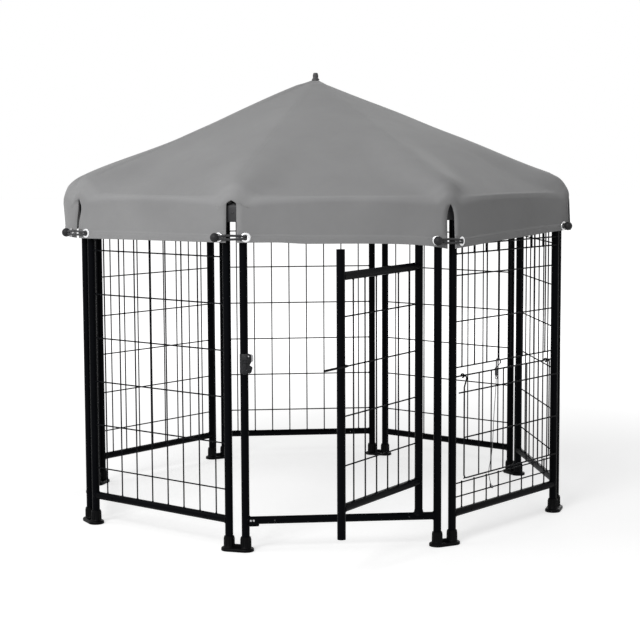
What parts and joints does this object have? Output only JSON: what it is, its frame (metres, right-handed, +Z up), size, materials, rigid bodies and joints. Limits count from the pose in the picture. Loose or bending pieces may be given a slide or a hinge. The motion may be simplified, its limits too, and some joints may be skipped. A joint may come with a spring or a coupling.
{
  "type": "pet shed",
  "caption": "Octagonal wire mesh pet pen with a hinged door, a feed hatch and a pitched fabric canopy on poles, standing on twin-socket feet",
  "frame": {"origin": "on the floor, under the centre of the bounding box with the door open as pictured", "axes": "+Z up, -Y towards the door, +X to the right of a viewer facing the door"},
  "size_m": [1.4844, 1.867, 1.3223],
  "materials": {
    "powder_coated_steel": "satin black powder coat",
    "black_plastic": "moulded, satin",
    "canopy_fabric": "woven grey polyester",
    "zinc_plate": "zinc plated, dull",
    "coated_cable": "clear coated wire rope",
    "elastic_cord": "black elastic with a moulded ball"
  },
  "bodies": {
    "kennel": {"bungee_1": "elastic_cord", "bungee_2": "elastic_cord", "bungee_3": "elastic_cord", "bungee_4": "elastic_cord", "bungee_5": "elastic_cord", "bungee_6": "elastic_cord", "bungee_7": "elastic_cord", "bungee_8": "elastic_cord", "canopy": "canopy_fabric", "finial": "black_plastic", "foot_1": "black_plastic", "foot_2": "black_plastic", "foot_3": "black_plastic", "foot_4": "black_plastic", "foot_5": "black_plastic", "foot_6": "black_plastic", "foot_7": "black_plastic", "foot_8": "black_plastic", "frame_back": "powder_coated_steel", "frame_back_left": "powder_coated_steel", "frame_back_right": "powder_coated_steel", "frame_front": "powder_coated_steel", "frame_front_left": "powder_coated_steel", "frame_front_right": "powder_coated_steel", "frame_left": "powder_coated_steel", "frame_right": "powder_coated_steel", "latch_keeper": "powder_coated_steel", "mesh_back": "powder_coated_steel", "mesh_back_left": "powder_coated_steel", "mesh_back_right": "powder_coated_steel", "mesh_front_left": "powder_coated_steel", "mesh_front_right_lower": "powder_coated_steel", "mesh_front_right_upper": "powder_coated_steel", "mesh_left": "powder_coated_steel", "mesh_right": "powder_coated_steel", "roof_hub": "black_plastic", "roof_pole_1": "powder_coated_steel", "roof_pole_2": "powder_coated_steel", "roof_pole_3": "powder_coated_steel", "roof_pole_4": "powder_coated_steel", "roof_pole_5": "powder_coated_steel", "roof_pole_6": "powder_coated_steel", "roof_pole_7": "powder_coated_steel", "roof_pole_8": "powder_coated_steel", "snap_hook": "zinc_plate", "tether": "coated_cable", "tether_crimp": "zinc_plate", "top_connector_1": "black_plastic", "top_connector_2": "black_plastic", "top_connector_3": "black_plastic", "top_connector_4": "black_plastic", "top_connector_5": "black_plastic", "top_connector_6": "black_plastic", "top_connector_7": "black_plastic", "top_connector_8": "black_plastic"},
    "door": {"door_frame": "powder_coated_steel", "door_mesh": "powder_coated_steel"},
    "feed_hatch": {"feed_hatch": "powder_coated_steel"},
    "latch_gate": {"latch_gate": "zinc_plate"}
  },
  "joints": [
    {"name": "door_hinge", "type": "hinge", "parent": "kennel", "child": "door", "pos_m": [0.212, -0.5093, 0.104], "axis": [0, 0, 1], "range_deg": [-52.87, 92]},
    {"name": "feed_hatch_hinge", "type": "hinge", "parent": "kennel", "child": "feed_hatch", "pos_m": [0.49502, -0.30425, 0.465], "axis": [-0.7071, -0.7071, 0], "range_deg": [0, 134]},
    {"name": "latch_gate_hinge", "type": "hinge", "parent": "kennel", "child": "latch_gate", "pos_m": [-0.264, -0.52872, 0.522], "axis": [-1, 0, 0], "range_deg": [0, 180]}
  ]
}
